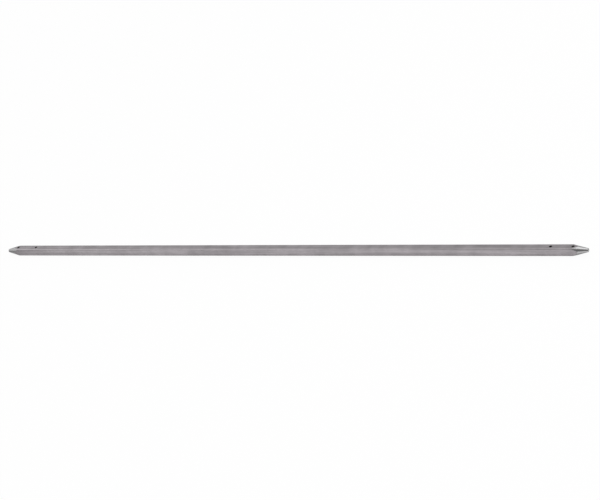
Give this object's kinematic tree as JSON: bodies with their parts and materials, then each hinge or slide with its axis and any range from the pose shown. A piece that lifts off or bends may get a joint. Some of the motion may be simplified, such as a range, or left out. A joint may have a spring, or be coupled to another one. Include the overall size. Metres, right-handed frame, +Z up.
{
  "type": "gyro spit",
  "caption": "Straight square stainless steel gyro spit, a blunt turned point pinned into each end and a cross hole near one end for the meat plate's locking pin.",
  "frame": {"origin": "centre of the box round the spit as it lies, at the surface that it lies on", "axes": "+X along the spit towards its cross-drilled end, +Z up through the pins and the cross hole, Y across the plain sides"},
  "size_m": [0.96, 0.012, 0.012],
  "materials": {
    "drawn_steel": "matte drawn stainless steel with fine lines along its length and slow light and dark streaks",
    "turned_steel": "bright turned stainless steel with fine rings round the cone",
    "spring_steel": "plain dark stainless spring steel"
  },
  "bodies": {
    "root": {"spit_tube": "drawn_steel", "point_drilled_end": "turned_steel", "point_plain_end": "turned_steel", "spring_pin_drilled_end": "spring_steel", "spring_pin_plain_end": "spring_steel"}
  },
  "joints": []
}
